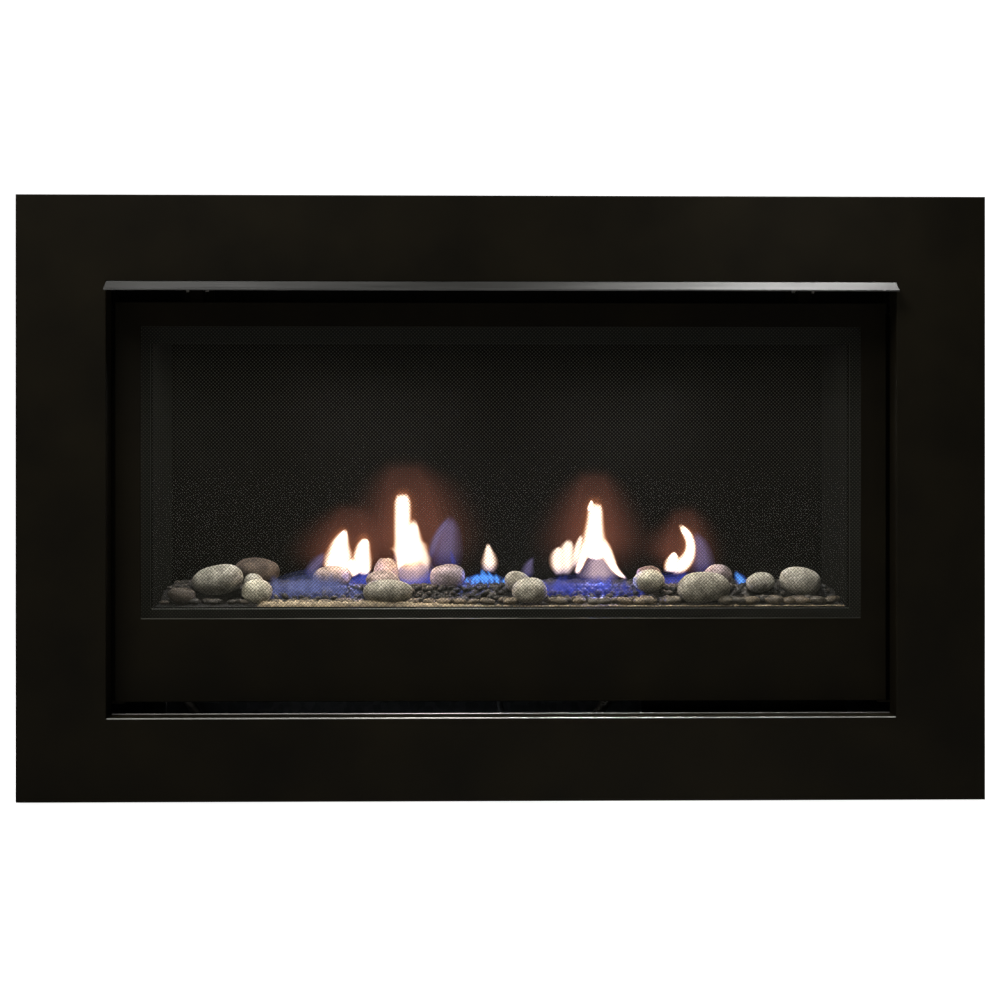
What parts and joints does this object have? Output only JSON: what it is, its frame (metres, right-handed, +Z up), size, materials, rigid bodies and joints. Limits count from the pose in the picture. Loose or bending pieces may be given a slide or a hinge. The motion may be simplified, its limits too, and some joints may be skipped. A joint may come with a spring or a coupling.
{
  "type": "direct vent fireplace",
  "caption": "Linear direct vent gas fireplace with a wide flat surround, a lift-off mesh safety screen, a sealed glass firebox with pebbles and stones, and coaxial top vent collars.",
  "frame": {"origin": "middle of the bounding box at floor level", "axes": "+X to the right seen from the front, +Y from the surround to the back panel, +Z up"},
  "size_m": [1.18, 0.3938, 0.763],
  "materials": {
    "powder_coat": "matte black powder coat",
    "hood_coat": "satin dark grey coat that catches the light from above",
    "screen_wire": "black oxide wire cloth",
    "galvanised": "spangled galvanised sheet",
    "firebox_paint": "matte high temperature black paint",
    "clear_glass": "clear ceramic glass",
    "gasket_rope": "woven glass fibre rope",
    "aluminised": "aluminised steel",
    "stainless": "brushed stainless steel",
    "screw_zinc": "zinc plated",
    "brass": "machined brass",
    "cast_alloy": "die cast alloy",
    "pebble_mix": "mixed dark and tan pebbles",
    "river_rock": "tumbled grey river rock",
    "white_ceramic": "glazed insulator",
    "ferrite": "ferrite magnet",
    "black_plastic": "moulded, fine grain",
    "red_plastic": "moulded",
    "lead_sleeve": "silicone sleeve"
  },
  "bodies": {
    "fireplace": {"latch_brackets": "powder_coat", "hinge_pins": "stainless", "firebox_gaskets": "gasket_rope", "firebox_floor": "firebox_paint", "firebox_wrap": "firebox_paint", "firebox_top": "firebox_paint", "firebox_front_plate": "firebox_paint", "firebox_stands": "galvanised", "flue_baffle": "stainless", "exhaust_collar": "aluminised", "intake_collar": "galvanised", "intake_air_duct": "galvanised", "casing_base_pan": "galvanised", "casing_left_side": "galvanised", "casing_right_side": "galvanised", "casing_back_panel": "galvanised", "casing_top_panel": "galvanised", "casing_front_frame": "powder_coat", "casing_screws": "screw_zinc", "base_rails": "galvanised", "top_standoffs": "galvanised", "nailing_flanges": "galvanised", "media_tray": "firebox_paint", "burner_pan": "stainless", "pebble_bed": "pebble_mix", "river_stones": "river_rock", "venturi_tube": "aluminised", "burner_orifice": "brass", "pilot_burner": "stainless", "flame_sensor": "stainless", "spark_electrode": "white_ceramic", "control_bracket": "powder_coat", "gas_valve_body": "cast_alloy", "igniter_body": "black_plastic", "switch_housing": "black_plastic", "shutoff_valve_body": "brass", "gas_inlet_tube": "stainless", "gas_tubes": "aluminised", "control_leads": "lead_sleeve", "front_brackets": "powder_coat", "holding_magnets": "ferrite"},
    "surround": {"surround_face": "powder_coat", "heat_deflector_hood": "hood_coat"},
    "screen": {"screen_frame": "powder_coat", "screen_mesh": "screen_wire", "mesh_retainer": "powder_coat"},
    "glass": {"glass_frame": "powder_coat", "glass_pane": "clear_glass", "glass_gasket": "gasket_rope"},
    "latch_left": {"latch_left": "powder_coat"},
    "latch_right": {"latch_right": "powder_coat"},
    "relief_flap_left": {"relief_flap_left": "aluminised"},
    "relief_flap_right": {"relief_flap_right": "aluminised"},
    "air_shutter": {"air_shutter": "aluminised"},
    "valve_spindle": {"valve_spindle": "stainless"},
    "control_knob": {"control_knob": "black_plastic"},
    "flame_height_knob": {"flame_height_knob": "black_plastic"},
    "igniter_button": {"igniter_button": "red_plastic"},
    "switch_rocker": {"switch_rocker": "black_plastic"},
    "shutoff_lever": {"shutoff_lever": "red_plastic"}
  },
  "joints": [
    {"name": "surround_pull", "type": "slide", "parent": "fireplace", "child": "surround", "axis": [0, -1, 0], "range_m": [0, 0.15]},
    {"name": "screen_pull", "type": "slide", "parent": "fireplace", "child": "screen", "axis": [0, -1, 0], "range_m": [0, 0.2]},
    {"name": "glass_tilt", "type": "hinge", "parent": "fireplace", "child": "glass", "pos_m": [0, -0.0869, 0.217], "axis": [1, 0, 0], "range_deg": [0, 3.5]},
    {"name": "latch_left_lift", "type": "hinge", "parent": "fireplace", "child": "latch_left", "pos_m": [-0.382, -0.0869, 0.632], "axis": [-1, 0, 0], "range_deg": [0, 53]},
    {"name": "latch_right_lift", "type": "hinge", "parent": "fireplace", "child": "latch_right", "pos_m": [0.382, -0.0869, 0.632], "axis": [-1, 0, 0], "range_deg": [0, 53]},
    {"name": "relief_flap_left_swing", "type": "hinge", "parent": "fireplace", "child": "relief_flap_left", "pos_m": [-0.3, 0.0601, 0.6095], "axis": [-1, 0, 0], "range_deg": [0, 40]},
    {"name": "relief_flap_right_swing", "type": "hinge", "parent": "fireplace", "child": "relief_flap_right", "pos_m": [0.3, 0.0601, 0.6095], "axis": [-1, 0, 0], "range_deg": [0, 40]},
    {"name": "air_shutter_turn", "type": "hinge", "parent": "fireplace", "child": "air_shutter", "pos_m": [0, 0.0431, 0.167], "axis": [0, 0, 1], "range_deg": [0, 60]},
    {"name": "control_knob_push", "type": "slide", "parent": "fireplace", "child": "valve_spindle", "axis": [0, 1, 0], "range_m": [0, 0.003], "stiffness_N_per_m": 1500},
    {"name": "control_knob_turn", "type": "hinge", "parent": "valve_spindle", "child": "control_knob", "pos_m": [0.225, -0.11, 0.155], "axis": [0, 1, 0], "range_deg": [0, 180]},
    {"name": "flame_height_turn", "type": "hinge", "parent": "fireplace", "child": "flame_height_knob", "pos_m": [0.275, -0.11, 0.155], "axis": [0, 1, 0], "range_deg": [0, 90]},
    {"name": "igniter_push", "type": "slide", "parent": "fireplace", "child": "igniter_button", "axis": [0, 1, 0], "range_m": [0, 0.008], "stiffness_N_per_m": 700},
    {"name": "switch_rock", "type": "hinge", "parent": "fireplace", "child": "switch_rocker", "pos_m": [0.397, -0.0989, 0.155], "axis": [1, 0, 0], "range_deg": [-8, 8]},
    {"name": "shutoff_turn", "type": "hinge", "parent": "fireplace", "child": "shutoff_lever", "pos_m": [-0.475, -0.09, 0.13], "axis": [0, -1, 0], "range_deg": [0, 90]}
  ],
  "couplings": [
    {"joint": "latch_left_lift", "follows": "glass_tilt", "ratio": 15},
    {"joint": "latch_right_lift", "follows": "glass_tilt", "ratio": 15}
  ]
}
